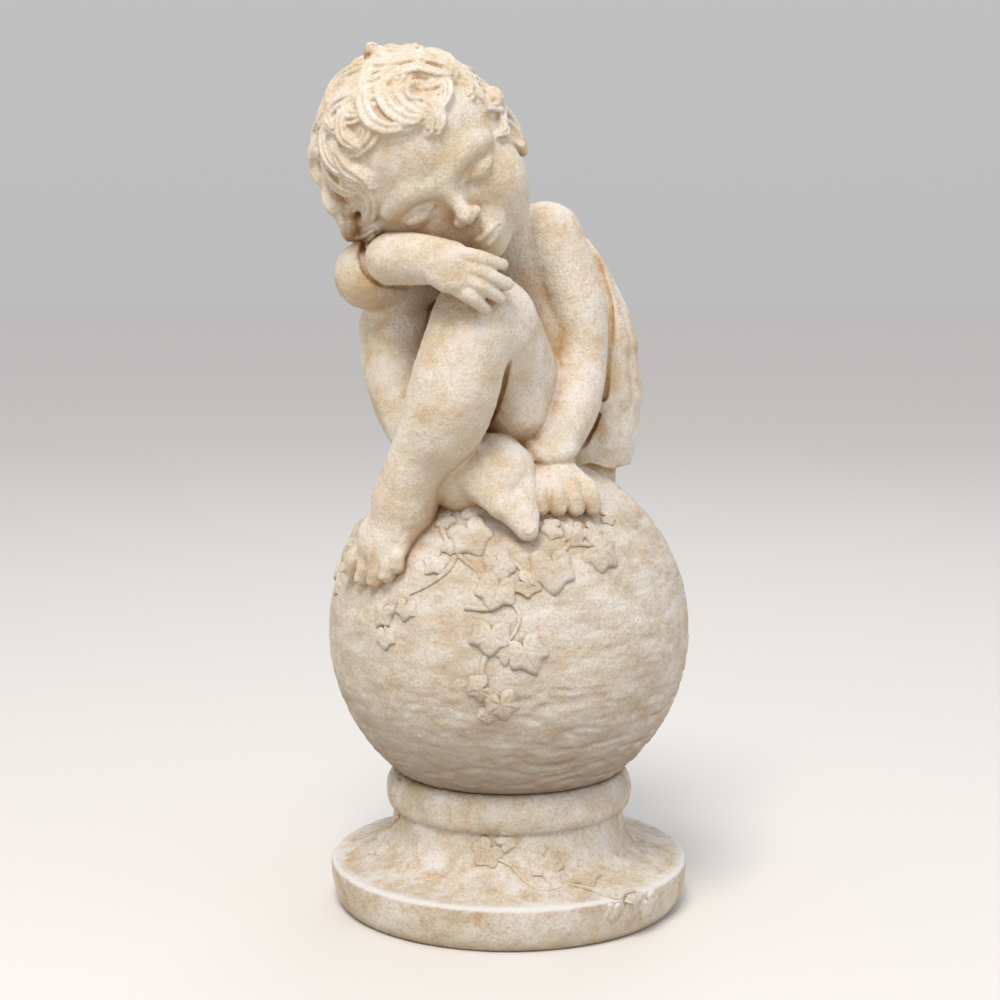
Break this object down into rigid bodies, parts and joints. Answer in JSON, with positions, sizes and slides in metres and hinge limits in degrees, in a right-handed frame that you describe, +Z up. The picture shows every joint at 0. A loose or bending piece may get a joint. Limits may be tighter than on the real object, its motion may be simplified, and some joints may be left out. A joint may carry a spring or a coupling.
{
  "type": "child garden statue",
  "caption": "Cast-stone garden statue of a winged child asleep on a ball with ivy, on a turned round plinth.",
  "frame": {"origin": "centre of the plinth's flat underside, on the ground", "axes": "+Z up through the ball's centre, -Y towards the front, where the left foot and the ivy are, +X to the viewer's right seen from the front"},
  "size_m": [0.3353, 0.3396, 0.7777],
  "materials": {
    "child_on_ball": "cream cast stone, sandy grain, ochre in the hollows",
    "plinth": "buff cast stone, sandy grain, weathered grey and rust stains on the rim"
  },
  "bodies": {
    "root": {"child_on_ball": "child_on_ball", "plinth": "plinth"}
  },
  "joints": []
}
